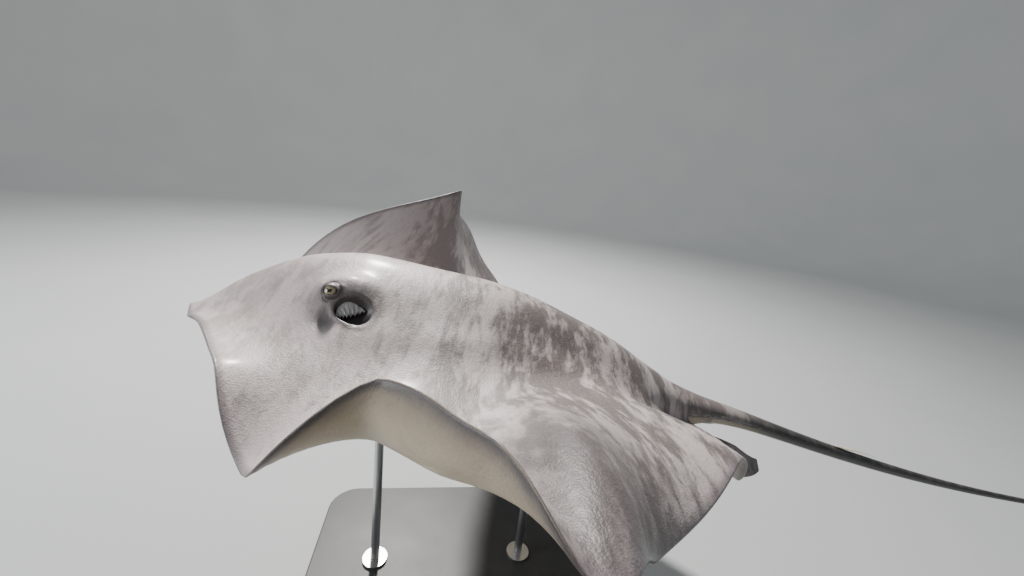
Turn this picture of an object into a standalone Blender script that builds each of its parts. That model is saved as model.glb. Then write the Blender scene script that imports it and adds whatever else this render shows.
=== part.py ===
"""Pink whipray (Pateobatis fai), life size, as a museum model gliding on a display stand.

The ray faces -Y with its left side at +X. The origin is the centre of the stand base's
underside. The body is first described flat: u runs back from the snout tip, v runs out
from the midline and h is the height above the sheet in which the fin rays lie. pose()
then bends every fin ray, and stand() pitches the animal and lifts it onto its rods.
"""
import math

import bmesh
import bpy
import numpy as np

# ---- driving dimensions, metres ----
DISC_WIDTH = 1.20
HALF_WIDTH = DISC_WIDTH / 2
DISC_LENGTH = 1.03               # snout tip to the free rear tips of the pectoral fins
CORNER_U = 0.48                  # widest station
CENTRE_U = 0.50                  # the fin rays fan out from here
REAR_TIP_V = 0.135
REAR_MARGIN_V = 0.123            # where the fins' free inner margins meet their rear tips
HEAD_END_U = 0.40
TRUNK_NARROWS_U = 0.66
ROOT_FORMS_U = 0.80              # from here the trunk's section turns into the tail's
TAIL_START_U = 0.95
TAIL_LENGTH = 2.10
CORE_HALF_WIDTH = 0.145          # head and trunk, between the two pectoral fins
EDGE = 0.002                     # half thickness of every fin margin
CUT = 0.0003                     # each side of a cut between two nodes draws back by this

# heights along the midline, above and below the sheet of the fin rays
RIDGE_U = (0.0, 0.10, 0.20, 0.27, 0.36, 0.50, 0.70, 0.85, 0.95, 1.03)
BACK_HEIGHT = (0.003, 0.042, 0.086, 0.106, 0.114, 0.124, 0.100, 0.066, 0.045, 0.038)
BELLY_DEPTH = (0.002, 0.012, 0.022, 0.028, 0.032, 0.036, 0.032, 0.026, 0.022, 0.020)
BACK_SPREAD = (0.05, 0.10, 0.13, 0.145, 0.165, 0.19, 0.165, 0.10, 0.06, 0.05)
BELLY_SPREAD = 1.5               # times the back's
WING_TOP = 0.026                 # flesh of the fins above and below their rays, at the root
WING_BOTTOM = 0.014

EYE_U, EYE_V = 0.238, 0.090
EYE_RADIUS = 0.0130
EYE_SOCKET = EYE_RADIUS + 2 * CUT
EYE_OUTWARD = 0.009              # from the top of the hump to the eyeball
EYE_SUNK = 0.55                  # of its radius, below the skin
HUMP_HEIGHT = 0.020
HUMP_BEHIND_EYE = 0.012
HUMP_LENGTH, HUMP_WIDTH = 0.045, 0.024
SPIRACLE_U, SPIRACLE_V = 0.273, 0.120
SPIRACLE_SIZE = (0.016, 0.030, 0.018)
SPIRACLE_TURN = 14.0             # degrees, front end towards the midline
SPIRACLE_SUNK = 0.004

PELVIC_START_U, PELVIC_END_U = 0.925, 1.155
PELVIC_DROP = 0.030              # under the tail root's centre
PELVIC_HANG = 42.0               # degrees down towards the fin's outer edge
PELVIC_PITCH = 6.0               # degrees down towards its rear end, on top of the trunk's slope
PELVIC_ROOT_V = 0.064            # its outer edge at the front
PELVIC_GROWTH = 0.060            # how much further out its widest station is
PELVIC_NOTCH = 0.040             # between the tail and the lobe's rounded end
PELVIC_GAP = 0.004
PELVIC_FLESH = 0.004

# tail section: a root that narrows quickly, then a whip that tapers to its tip
TAIL_TIP_RADIUS = 0.0025
TAIL_ROOT_FLARE = 0.0283
TAIL_FLARE_LENGTH = 0.11
TAIL_WHIP = 0.0235
TAIL_TAPER = 2.2
TAIL_FLAT, TAIL_ROUND, TAIL_ROUND_AT = 0.66, 0.96, 0.7     # height over width, root and whip
ROOT_GAP = 0.0012                # the tail's flat front clears the trunk's slightly curved end
TAIL_CUTS = (ROOT_GAP, 0.30, 0.75, 1.22, 1.68, TAIL_LENGTH)
TAIL_NAMES = ("tail_base", "tail_middle", "tail_whip_front", "tail_whip_middle", "tail_whip_tip")
STING_START, STING_LENGTH, STING_HALF_WIDTH = 0.46, 0.14, 0.0046
STING_TIP_HALF_WIDTH = 0.0006
STING_GAP = 0.0006
STING_RISE = 0.006               # its tip stands off the tail by this

# ---- pose: angles in degrees at stations round the margin ----
# 0 is the snout, 1 the outer corner, 2 the free rear tip
TAIL_STATION = 2.4
CURL_STATIONS = (0.0, 0.2, 0.4, 0.55, 0.7, 0.85, 1.0, 1.25, 1.55, 2.0, 2.18, TAIL_STATION)
DROOP_STATIONS = (0.0, 0.2, 0.4, 0.8, 1.2, 1.6, 2.0, 2.18, TAIL_STATION)
LEFT_CURL = (-25, 20, 25, -34, 101, 70, -19, -86, -58, -16, 6, 8)
RIGHT_CURL = (-25, -78, -34, -11, 16, -20, -15, 0, -2, -8, 6, 8)
LEFT_DROOP = (0, 5, -5, 9, 42, 45, 3, 0, 0)
RIGHT_DROOP = (0, 1, 77, 49, 10, -12, -3, 0, 0)
LEFT_STIFFNESS = (2.5, 3.5, 4, 4, 4, 4, 4, 3, 2, 2, 2, 2)
RIGHT_STIFFNESS = (2.5, 2, 1.6, 1.6, 1.6, 1.6, 1.6, 1.6, 2, 2, 2, 2)
MIDDLE_CURL, MIDDLE_STIFFNESS = (-25, 8), 2.5      # of the midline, ahead of and behind the fan's centre
FIN_BENDS_V, FIN_FREE_V = 0.07, 0.19             # a ray's own bend starts, and counts in full
SNOUT_LENGTH = 0.22              # towards the snout's tip the stiff middle narrows to nothing
UPRIGHT_V = 0.20                 # flesh nearer the midline than this rises more upright
STIFF_CORE = 0.20                # share of a fin ray, at the body, that stays straight
DROOP_FULL = 0.4                 # share of its free length by which the droop is reached
NOSE_UP = 14.0
CENTRE_HEIGHT = 0.52             # the fan centre's height above the floor

# tail heading in degrees at distances along it: below the trunk's own heading, and to the left
TAIL_AT = (0.0, 0.25, 0.6, 1.0, 1.5, TAIL_LENGTH)
TAIL_DOWN = (0, 7, 4, -2, -6, -9)
TAIL_LEFT = (0, 2, 4, 6, 5, 0)

# ---- stand ----
BASE_LENGTH, BASE_WIDTH, BASE_THICK = 0.62, 0.42, 0.025
BASE_ROUND = 0.06                # corner radius
BASE_BEVEL = 0.003
ROD_RADIUS = 0.009
FLANGE_RADIUS, FLANGE_THICK = 0.026, 0.006
ROD_U = {"front": 0.33, "rear": 0.66}


# ---------- flat outline ----------
def ease(x):
    x = np.clip(x, 0, 1)
    return x * x * (3 - 2 * x)


def curve(x, xs, ys):
    """Smooth curve through the stations (xs, ys) that never overshoots and ends level."""
    xs, ys = np.asarray(xs, float), np.asarray(ys, float)
    step = np.diff(xs)
    grade = np.diff(ys) / step
    slope = np.zeros(len(xs))
    for i in range(1, len(xs) - 1):
        if grade[i - 1] * grade[i] > 0:
            before, after = 2 * step[i] + step[i - 1], step[i] + 2 * step[i - 1]
            slope[i] = (before + after) / (before / grade[i - 1] + after / grade[i])
    x = np.clip(x, xs[0], xs[-1])
    i = np.clip(np.searchsorted(xs, x) - 1, 0, len(xs) - 2)
    t = (x - xs[i]) / step[i]
    return ((2 * t ** 3 - 3 * t ** 2 + 1) * ys[i] + (t ** 3 - 2 * t ** 2 + t) * step[i] * slope[i]
            + (3 * t ** 2 - 2 * t ** 3) * ys[i + 1] + (t ** 3 - t ** 2) * step[i] * slope[i + 1])


def bezier(a, b, c, d, count):
    t = np.linspace(0, 1, count)[:, None]
    return ((1 - t) ** 3 * np.array(a) + 3 * (1 - t) ** 2 * t * np.array(b)
            + 3 * (1 - t) * t * t * np.array(c) + t ** 3 * np.array(d))


def half_outline(count=48, rounding=6):
    """Half of the disc's margin as (u, v) points, and the margin station of each."""
    corner = (CORNER_U, HALF_WIDTH)
    lead = bezier((0, 0), (0.03, 0.10), (CORNER_U - 0.15, HALF_WIDTH - 0.12), corner, count)
    trail = bezier(corner, (CORNER_U + 0.10, HALF_WIDTH - 0.07), (DISC_LENGTH - 0.10, 0.27),
                   (DISC_LENGTH, REAR_TIP_V), count)
    line = np.vstack([lead, trail[1:]])
    for _ in range(rounding):
        line[1:-1] = 0.25 * line[:-2] + 0.5 * line[1:-1] + 0.25 * line[2:]
    line[:, 1] *= HALF_WIDTH / line[:, 1].max()
    station = np.concatenate([np.linspace(0, 1, count), np.linspace(1, 2, count)[1:]])
    under_tail = (DISC_LENGTH, 0.0)
    return np.vstack([line, under_tail]), np.append(station, TAIL_STATION)


def soften(values, passes=18):
    """Round the kinks out of a table of equal steps; its ends stay."""
    for _ in range(passes):
        values[1:-1] = 0.25 * values[:-2] + 0.5 * values[1:-1] + 0.25 * values[2:]
    return values


MARGIN, MARGIN_STATION = half_outline()
MARGIN_ANGLE = np.arctan2(MARGIN[:, 1], CENTRE_U - MARGIN[:, 0])
FAN_ANGLE = np.linspace(0, math.pi, 181)
FAN_STATION = soften(np.interp(FAN_ANGLE, MARGIN_ANGLE, MARGIN_STATION))
FAN_RADIUS = soften(np.interp(FAN_ANGLE, MARGIN_ANGLE, np.hypot(MARGIN[:, 0] - CENTRE_U, MARGIN[:, 1])))


def half_width(u, least=0.001):
    return np.maximum(np.interp(u, MARGIN[:-1, 0], MARGIN[:-1, 1]), least)


def tail_half_width(s):
    """Half width of the tail at distance s behind its root."""
    s = np.asarray(s, float)
    flare = TAIL_ROOT_FLARE * np.exp(-s / TAIL_FLARE_LENGTH)
    return TAIL_TIP_RADIUS + flare + TAIL_WHIP * (1 - s / TAIL_LENGTH) ** TAIL_TAPER


def tail_half_height(s):
    """Half height of the tail: flattened at the root, round in the whip."""
    rounder = ease(np.asarray(s) / TAIL_ROUND_AT)
    return tail_half_width(s) * (TAIL_FLAT + (TAIL_ROUND - TAIL_FLAT) * rounder)


def core_half_width(u, tip_share=0.62):
    """Half width of head and trunk: the whole snout tip, then a band, then the tail root."""
    u = np.asarray(u, float)
    tip = half_width(u) * (1 - (1 - tip_share) * ease((u - 0.01) / 0.09))
    narrowing = ease((u - TRUNK_NARROWS_U) / (TAIL_START_U - TRUNK_NARROWS_U))
    return np.minimum(tip, CORE_HALF_WIDTH + (tail_half_width(0.0) - CORE_HALF_WIDTH) * narrowing)


# ---------- flesh above and below the fin rays ----------
def section(u, v, spread):
    """Bell across the body that turns into the tail root's half ellipse."""
    root = ease((u - ROOT_FORMS_U) / (TAIL_START_U - ROOT_FORMS_U))
    bell = np.exp(-(v / spread) ** 2)
    reach = core_half_width(np.minimum(u, TAIL_START_U)) + 0.001
    return bell * (1 - root) + np.sqrt(np.clip(1 - (v / reach) ** 2, 0, 1)) * root


def wing(u):
    """The fins' own flesh fades out towards the snout tip and the free rear tips."""
    return ease(u / 0.2) * (1 - 0.8 * ease((u - 0.75) / 0.25))


def top_height(u, v):
    across = np.clip(v / half_width(u), 0, 1)
    spread = np.interp(u, RIDGE_U, BACK_SPREAD)
    hump = HUMP_HEIGHT * np.exp(-((u - EYE_U - HUMP_BEHIND_EYE) / HUMP_LENGTH) ** 2
                                - ((v - EYE_V) / HUMP_WIDTH) ** 2)
    back = curve(u, RIDGE_U, BACK_HEIGHT) * section(u, v, spread)
    return EDGE + (1 - across ** 8) * (back + wing(u) * WING_TOP * (1 - across) + hump)


def bottom_height(u, v):
    across = np.clip(v / half_width(u), 0, 1)
    spread = BELLY_SPREAD * np.interp(u, RIDGE_U, BACK_SPREAD)
    belly = curve(u, RIDGE_U, BELLY_DEPTH) * section(u, v, spread)
    return -EDGE - (1 - across ** 8) * (belly + wing(u) * WING_BOTTOM * (1 - across))


# ---------- pose ----------
def fin_sheet(side, u, v, samples=24):
    """Bent place of flat points: each fin ray keeps its length and turns up or down."""
    left = side > 0
    back = CENTRE_U - u
    radius = np.hypot(back, v)
    angle = np.arctan2(v, back)
    station = np.interp(angle, FAN_ANGLE, FAN_STATION)
    share = radius / np.interp(angle, FAN_ANGLE, FAN_RADIUS)
    curl = np.radians(curve(station, CURL_STATIONS, LEFT_CURL if left else RIGHT_CURL))
    droop = np.radians(curve(station, DROOP_STATIONS, LEFT_DROOP if left else RIGHT_DROOP))
    stiff = curve(station, CURL_STATIONS, LEFT_STIFFNESS if left else RIGHT_STIFFNESS)
    step = (np.arange(samples) + 0.5) / samples
    free = np.clip((share[..., None] * step - STIFF_CORE) / (1 - STIFF_CORE), 0, 1)
    fin = droop[..., None] * ease(free / DROOP_FULL) + curl[..., None] * free ** stiff[..., None]
    middle = np.radians(np.where(station < 1, *MIDDLE_CURL))[..., None] * free ** MIDDLE_STIFFNESS
    stiff_v = FIN_BENDS_V * ease((CENTRE_U - back[..., None] * step) / SNOUT_LENGTH)
    own = ease((v[..., None] * step - stiff_v) / (FIN_FREE_V - FIN_BENDS_V))
    rise = middle + (fin - middle) * own
    out = np.cos(rise).mean(-1)
    return np.stack([side * v * out, CENTRE_U - back * out, radius * np.sin(rise).mean(-1)], -1)


def pose(side, u, v, h):
    """Posed points at height h over the sheet; u, v and h are numbers or arrays of one shape."""
    u, v, h = np.broadcast_arrays(np.asarray(u, float), np.asarray(v, float), np.asarray(h, float))
    here = fin_sheet(side, u, v)
    reach = 0.006 + 1.4 * np.abs(h)                  # thick flesh follows the sheet's broader bends
    along = fin_sheet(side, u + reach, v) - fin_sheet(side, u - reach, v)
    across = fin_sheet(side, u, v + reach) - fin_sheet(side, u, np.maximum(v - reach, 0))
    normal = side * np.cross(across, along)
    normal /= np.linalg.norm(normal, axis=-1, keepdims=True)
    normal[..., 0] *= ease(v / UPRIGHT_V)            # upright on the midline, so that the sides meet
    normal /= np.linalg.norm(normal, axis=-1, keepdims=True)
    return here + normal * h[..., None]


def stand(points):
    """Pitch the posed animal about its fan centre and lift it above the floor."""
    turn = -math.radians(NOSE_UP)
    x, y, z = points[..., 0], points[..., 1] - CENTRE_U, points[..., 2]
    return np.stack([x, y * math.cos(turn) - z * math.sin(turn),
                     y * math.sin(turn) + z * math.cos(turn) + CENTRE_HEIGHT], -1)


def tail_root():
    """Centre of the trunk's end."""
    lift = (top_height(TAIL_START_U, 0.0) + bottom_height(TAIL_START_U, 0.0)) / 2
    return pose(1, TAIL_START_U, 0.0, lift)


def trunk_end_slope(reach=0.004):
    before, end = pose(1, TAIL_START_U - reach, 0.0, 0.0), pose(1, TAIL_START_U, 0.0, 0.0)
    return math.atan2(before[2] - end[2], end[1] - before[1])


# ---------- meshes ----------
def material(name, colour, roughness, metallic=0.0):
    made = bpy.data.materials.new(name)
    made.use_nodes = True
    shader = made.node_tree.nodes["Principled BSDF"]
    shader.inputs["Base Color"].default_value = (*colour, 1)
    shader.inputs["Roughness"].default_value = roughness
    shader.inputs["Metallic"].default_value = metallic
    return made


def link(name, mesh, finish):
    mesh.materials.append(finish)
    made = bpy.data.objects.new(name, mesh)
    bpy.context.scene.collection.objects.link(made)
    return made


def add_object(name, verts, faces, finish, smooth=True):
    mesh = bpy.data.meshes.new(name)
    mesh.from_pydata([tuple(p) for p in verts], [], faces)
    bm = bmesh.new()
    bm.from_mesh(mesh)
    bmesh.ops.remove_doubles(bm, verts=bm.verts, dist=1e-6)
    bmesh.ops.dissolve_degenerate(bm, edges=bm.edges, dist=1e-7)
    bmesh.ops.recalc_face_normals(bm, faces=bm.faces)
    bm.to_mesh(mesh)
    bm.free()
    if smooth:
        mesh.shade_smooth()
        mesh.set_sharp_from_angle(angle=math.radians(40))
    return link(name, mesh, finish)


def slab(name, top, bottom, finish):
    """Closed solid between two equal grids of points."""
    rows, cols = top.shape[:2]
    verts = np.vstack([top.reshape(-1, 3), bottom.reshape(-1, 3)])

    def at(i, j, layer):
        return layer * rows * cols + i * cols + j

    quads = []
    for layer in (0, 1):
        for i in range(rows - 1):
            for j in range(cols - 1):
                ahead = (at(i + 1, j + 1, layer), at(i + 1, j, layer))
                quads.append((at(i, j, layer), at(i, j + 1, layer), *ahead))
    for j in (0, cols - 1):
        for i in range(rows - 1):
            quads.append((at(i, j, 0), at(i + 1, j, 0), at(i + 1, j, 1), at(i, j, 1)))
    for i in (0, rows - 1):
        for j in range(cols - 1):
            quads.append((at(i, j, 0), at(i, j + 1, 0), at(i, j + 1, 1), at(i, j, 1)))
    faces = [half for a, b, c, d in quads for half in ((a, b, c), (a, c, d))]
    return add_object(name, stand(verts), faces, finish)


def loft(name, rings, finish, smooth=True):
    """Closed solid through equal rings of points, with flat ends."""
    sides = len(rings[0])
    faces = []
    for i in range(len(rings) - 1):
        for j in range(sides):
            k = (j + 1) % sides
            faces.append((i * sides + j, i * sides + k, (i + 1) * sides + k, (i + 1) * sides + j))
    last = (len(rings) - 1) * sides
    faces.append(tuple(range(sides - 1, -1, -1)))
    faces.append(tuple(range(last, last + sides)))
    return add_object(name, np.vstack(rings), faces, finish, smooth)


def cut_ball(target, centre, radii, turn, segments=24, rings=12):
    """Sink an ellipsoid's shape into the target."""
    bm = bmesh.new()
    bmesh.ops.create_uvsphere(bm, u_segments=segments, v_segments=rings, radius=1.0)
    mesh = bpy.data.meshes.new(target.name + "_cutter")
    bm.to_mesh(mesh)
    bm.free()
    cutter = bpy.data.objects.new(mesh.name, mesh)
    bpy.context.scene.collection.objects.link(cutter)
    cutter.location = centre
    cutter.scale = radii
    cutter.rotation_euler = (0, 0, turn)
    cutter.hide_render = True
    cutter.display_type = "WIRE"
    boolean = target.modifiers.new("socket", "BOOLEAN")
    boolean.operation = "DIFFERENCE"
    boolean.object = cutter


# ---------- head, trunk and fins ----------
TIP_STATIONS = 1 - np.cos(np.linspace(0, math.pi / 2, 15))       # dense at the snout tip
HEAD_STATIONS = HEAD_END_U * (0.6 * np.linspace(0, 1, 15) + 0.4 * TIP_STATIONS)
TRUNK_STATIONS = np.linspace(HEAD_END_U, TAIL_START_U, 20)
REAR_STATIONS = np.linspace(TAIL_START_U, DISC_LENGTH, 6)


def core_piece(name, us, finish, first_cut, last_cut, across=8):
    """Head or trunk: a band on both sides of the midline."""
    us = us.copy()
    us[0] += first_cut
    us[-1] -= last_cut
    share = np.linspace(-1, 1, 2 * across - 1)
    u = np.repeat(us[:, None], len(share), 1)
    v = np.abs(share)[None, :] * (core_half_width(us) - CUT)[:, None]
    on_left = (share >= 0)[None, :, None]
    grids = [np.where(on_left, pose(1, u, v, height(u, v)), pose(-1, u, v, height(u, v)))
             for height in (top_height, bottom_height)]
    return slab(name, grids[0], grids[1], finish)


def fin_inner(u):
    """Inner boundary of a pectoral fin: the trunk's side, then its free inner margin."""
    root = core_half_width(np.minimum(u, TAIL_START_U))
    return root + CUT + (REAR_MARGIN_V - root) * ease((u - TAIL_START_U) / 0.08)


def pectoral_fin(name, side, finish, across=11, narrowest=0.008):
    us = np.concatenate([HEAD_STATIONS, TRUNK_STATIONS[1:], REAR_STATIONS[1:]])
    us = us[half_width(us) - fin_inner(us) > narrowest]
    share = 1 - (1 - np.linspace(0, 1, across)) ** 1.25
    inner, outer = fin_inner(us), half_width(us)
    u = np.repeat(us[:, None], across, 1)
    v = inner[:, None] + share[None, :] * (outer - inner)[:, None]
    return slab(name, pose(side, u, v, top_height(u, v)), pose(side, u, v, bottom_height(u, v)), finish)


def pelvic_place(side, u, v, h):
    """Plane that hangs outwards and down from the tail root."""
    slope = trunk_end_slope() + math.radians(PELVIC_PITCH)
    hang = math.radians(PELVIC_HANG)
    root = tail_root()
    back = u - TAIL_START_U
    out = np.maximum(v - tail_half_width(0.0), 0)
    low = PELVIC_DROP + back * math.sin(slope) + out * math.sin(hang)
    x = side * (v + out * (math.cos(hang) - 1) + h * math.sin(hang))
    return np.stack([x, root[1] + back * math.cos(slope), root[2] - low + h * math.cos(hang)], -1)


def pelvic_fin(name, side, finish, along=10, across=6):
    """Lobe under the rear of the pectoral fin, rounded beyond the disc."""
    us = PELVIC_START_U + (PELVIC_END_U - PELVIC_START_U) * np.sin(np.linspace(0.06, 1, along) * math.pi / 2)
    grow = (us - PELVIC_START_U) / (PELVIC_END_U - PELVIC_START_U)
    widening = np.sin(np.clip(grow * 1.3, 0, 1) * math.pi / 2) * np.sqrt(1 - 0.75 * grow ** 5)
    outer = PELVIC_ROOT_V + PELVIC_GROWTH * widening
    beside_tail = tail_half_width(np.maximum(us - TAIL_START_U, 0)) + PELVIC_GAP
    inner = beside_tail + PELVIC_NOTCH * ease((grow - 0.5) / 0.5)
    share = np.linspace(0, 1, across)
    u = np.repeat(us[:, None], across, 1)
    v = inner[:, None] + share[None, :] * (outer - inner)[:, None]
    thick = EDGE + PELVIC_FLESH * (1 - share[None, :] ** 3) * (1 - grow[:, None] ** 3)
    return slab(name, pelvic_place(side, u, v, thick), pelvic_place(side, u, v, -thick), finish)


# ---------- tail ----------
def tail_line(count=400):
    """Distances, centres, rightward and upward directions along the tail's heading."""
    s = np.linspace(0, TAIL_LENGTH, count)
    down = trunk_end_slope() + np.radians(curve(s, TAIL_AT, TAIL_DOWN))
    left = np.radians(curve(s, TAIL_AT, TAIL_LEFT))
    ahead = np.stack([np.sin(left) * np.cos(down), np.cos(left) * np.cos(down), -np.sin(down)], -1)
    step = np.diff(s)[:, None] * (ahead[1:] + ahead[:-1]) / 2
    centres = tail_root() + np.vstack([np.zeros(3), np.cumsum(step, 0)])
    right = np.cross(ahead, (0, 0, 1))
    right /= np.linalg.norm(right, axis=-1, keepdims=True)
    return s, centres, right, np.cross(right, ahead)


def tail_places(s):
    """Centre, rightward and upward direction at each distance s."""
    line, *fields = tail_line()
    return [np.stack([np.interp(s, line, field[:, k]) for k in range(3)], -1) for field in fields]


def tail_piece(name, start, end, finish, count=10, sides=14):
    s = np.linspace(start + CUT, end - CUT, count)
    turn = np.arange(sides) * 2 * math.pi / sides
    rings = []
    for centre, right, up, wide, high in zip(*tail_places(s), tail_half_width(s), tail_half_height(s)):
        rings.append(stand(centre + np.outer(wide * np.cos(turn), right) + np.outer(high * np.sin(turn), up)))
    return loft(name, rings, finish)


def sting(name, finish, count=9):
    """Flattened spine with a keeled top that lies back along the tail."""
    share = np.linspace(0, 1, count)
    s = STING_START + share * STING_LENGTH
    half = STING_HALF_WIDTH * (1 - share ** 2.2) + STING_TIP_HALF_WIDTH
    floor = tail_half_height(s) + STING_GAP + STING_RISE * ease(share * 1.5)
    corners = ((-1, 0), (1, 0), (0.35, 0.5), (-0.35, 0.5))
    rings = []
    for centre, right, up, wide, low in zip(*tail_places(s), half, floor):
        rings.append(stand(np.array([centre + x * wide * right + (low + z * wide) * up for x, z in corners])))
    return loft(name, rings, finish, smooth=False)


# ---------- eyes and spiracles ----------
def eye_centre(side):
    """The eyeball sits in the hump's outer slope, partly proud of it."""
    v = EYE_V + EYE_OUTWARD
    return stand(pose(side, EYE_U, v, top_height(EYE_U, v) - EYE_SUNK * EYE_RADIUS))


def spiracle_centre(side):
    return stand(pose(side, SPIRACLE_U, SPIRACLE_V, top_height(SPIRACLE_U, SPIRACLE_V) - SPIRACLE_SUNK))


def eyeball(name, side, finish):
    bm = bmesh.new()
    bmesh.ops.create_uvsphere(bm, u_segments=16, v_segments=8, radius=EYE_RADIUS)
    mesh = bpy.data.meshes.new(name)
    bm.to_mesh(mesh)
    bm.free()
    mesh.shade_smooth()
    link(name, mesh, finish).location = eye_centre(side)


# ---------- stand ----------
def rounded_plate(name, finish, arc=6):
    corners = []
    for number, (right, rear) in enumerate(((1, 1), (-1, 1), (-1, -1), (1, -1))):
        for i in range(arc + 1):
            a = math.pi / 2 * (number + i / arc)
            corners.append((right * (BASE_WIDTH / 2 - BASE_ROUND), rear * (BASE_LENGTH / 2 - BASE_ROUND),
                            math.cos(a), math.sin(a)))
    levels = ((0.0, BASE_ROUND), (BASE_THICK - BASE_BEVEL, BASE_ROUND), (BASE_THICK, BASE_ROUND - BASE_BEVEL))
    rings = [np.array([(x + r * c, y + r * s, z) for x, y, c, s in corners]) for z, r in levels]
    return loft(name, rings, finish)


def belly_at(x, y):
    """Height of the belly over a floor point close to the midline."""
    us = np.linspace(0.1, 0.9, 161)
    v = np.full(len(us), abs(x))
    line = stand(pose(1 if x > 0 else -1, us, v, bottom_height(us, v)))
    return float(np.interp(y, line[:, 1], line[:, 2]))


def rod(name, u, finish, sides=20):
    """Upright rod with a foot flange; its top is cut to the slope of the belly."""
    y = stand(pose(1, u, 0.0, bottom_height(u, 0.0)))[1]
    floor = BASE_THICK + CUT
    turn = np.arange(sides) * 2 * math.pi / sides
    flange_top = floor + FLANGE_THICK
    profile = ((FLANGE_RADIUS, floor), (FLANGE_RADIUS, flange_top), (ROD_RADIUS, flange_top))
    rings = [np.array([(r * math.cos(a), y + r * math.sin(a), z) for a in turn]) for r, z in profile]
    top = rings[-1].copy()
    top[:, 2] = [belly_at(px, py) - 2 * CUT for px, py, _ in top]
    return loft(name, rings + [top], finish)


def build():
    for leftover in list(bpy.data.objects):
        bpy.data.objects.remove(leftover, do_unlink=True)
    skin = material("skin", (0.42, 0.36, 0.35), 0.5)
    tail_skin = material("tail_skin", (0.10, 0.09, 0.09), 0.5)
    eye_finish = material("eye", (0.30, 0.26, 0.18), 0.1)
    spine = material("spine", (0.70, 0.64, 0.52), 0.45)
    paint = material("stand_paint", (0.05, 0.05, 0.055), 0.45)
    steel = material("stand_steel", (0.60, 0.60, 0.60), 0.3, 1.0)

    head = core_piece("head", HEAD_STATIONS, skin, 0.0, CUT)
    for side, word in ((1, "left"), (-1, "right")):
        cut_ball(head, eye_centre(side), [EYE_SOCKET] * 3, 0)
        cut_ball(head, spiracle_centre(side), SPIRACLE_SIZE, -side * math.radians(SPIRACLE_TURN))
        eyeball("eye_" + word, side, eye_finish)
        pectoral_fin("pectoral_fin_" + word, side, skin)
        pelvic_fin("pelvic_fin_" + word, side, skin)
    core_piece("trunk", TRUNK_STATIONS, skin, CUT, CUT)
    for name, start, end in zip(TAIL_NAMES, TAIL_CUTS, TAIL_CUTS[1:]):
        tail_piece(name, start, end, tail_skin)
    sting("tail_sting", spine)
    rounded_plate("stand_base", paint)
    for word, u in ROD_U.items():
        rod("stand_rod_" + word, u, steel)


build()
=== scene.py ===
"""Looks of the life-size pink whipray model on its display stand.

Flat coordinates describe the animal's skin: u runs back from the snout tip, v runs out from
the midline (left is positive where it is signed) and layer is +1 on the back, -1 on the belly
and 0 along the fin margins. pose() bends every fin ray and stand() puts the animal on its rods.
"""
import math

import bmesh
import bpy
import numpy as np
from mathutils import Matrix, Vector


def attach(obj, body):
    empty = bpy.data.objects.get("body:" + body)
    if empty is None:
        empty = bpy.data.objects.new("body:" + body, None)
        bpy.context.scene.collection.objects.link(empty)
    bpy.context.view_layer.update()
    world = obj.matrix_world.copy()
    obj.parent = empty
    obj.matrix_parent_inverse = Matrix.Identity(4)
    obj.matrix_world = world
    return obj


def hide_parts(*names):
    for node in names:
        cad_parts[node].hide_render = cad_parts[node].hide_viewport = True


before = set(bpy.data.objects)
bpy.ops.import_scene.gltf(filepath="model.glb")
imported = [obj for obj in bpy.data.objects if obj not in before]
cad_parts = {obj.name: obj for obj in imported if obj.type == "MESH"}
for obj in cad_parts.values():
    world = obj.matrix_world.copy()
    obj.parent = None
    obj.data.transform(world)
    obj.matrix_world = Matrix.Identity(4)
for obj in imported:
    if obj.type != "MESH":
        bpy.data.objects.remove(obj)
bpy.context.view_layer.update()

# ---- the animal, as the solids have it ----
DISC_WIDTH = 1.20
HALF_WIDTH = DISC_WIDTH / 2
DISC_LENGTH = 1.03
CORNER_U = 0.48
CENTRE_U = 0.50
REAR_TIP_V = 0.135
REAR_MARGIN_V = 0.123
TRUNK_NARROWS_U = 0.66
ROOT_FORMS_U = 0.80
TAIL_START_U = 0.95
TAIL_LENGTH = 2.10
CORE_HALF_WIDTH = 0.145
EDGE = 0.002                     # half thickness of the fin margins
RIDGE_U = (0.0, 0.10, 0.20, 0.27, 0.36, 0.50, 0.70, 0.85, 0.95, 1.03)
BACK_HEIGHT = (0.003, 0.042, 0.086, 0.106, 0.114, 0.124, 0.100, 0.066, 0.045, 0.038)
BELLY_DEPTH = (0.002, 0.012, 0.022, 0.028, 0.032, 0.036, 0.032, 0.026, 0.022, 0.020)
BACK_SPREAD = (0.05, 0.10, 0.13, 0.145, 0.165, 0.19, 0.165, 0.10, 0.06, 0.05)
BELLY_SPREAD = 1.5
WING_TOP = 0.026
WING_BOTTOM = 0.014
EYE_U, EYE_V = 0.238, 0.090
EYE_RADIUS = 0.0130
EYE_OUTWARD = 0.009
EYE_SUNK = 0.55
HUMP_HEIGHT = 0.020
HUMP_BEHIND_EYE = 0.012
HUMP_LENGTH, HUMP_WIDTH = 0.045, 0.024
SPIRACLE_U, SPIRACLE_V = 0.273, 0.120
PELVIC_START_U, PELVIC_END_U = 0.925, 1.155
PELVIC_DROP, PELVIC_HANG, PELVIC_PITCH = 0.030, 42.0, 6.0
PELVIC_ROOT_V, PELVIC_GROWTH, PELVIC_NOTCH = 0.064, 0.060, 0.040
PELVIC_GAP, PELVIC_FLESH = 0.004, 0.004
TAIL_TIP_RADIUS, TAIL_ROOT_FLARE, TAIL_FLARE_LENGTH = 0.0025, 0.0283, 0.11
TAIL_WHIP, TAIL_TAPER = 0.0235, 2.2
TAIL_FLAT, TAIL_ROUND, TAIL_ROUND_AT = 0.66, 0.96, 0.7
STING_START, STING_LENGTH, STING_HALF_WIDTH = 0.46, 0.14, 0.0046
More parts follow.
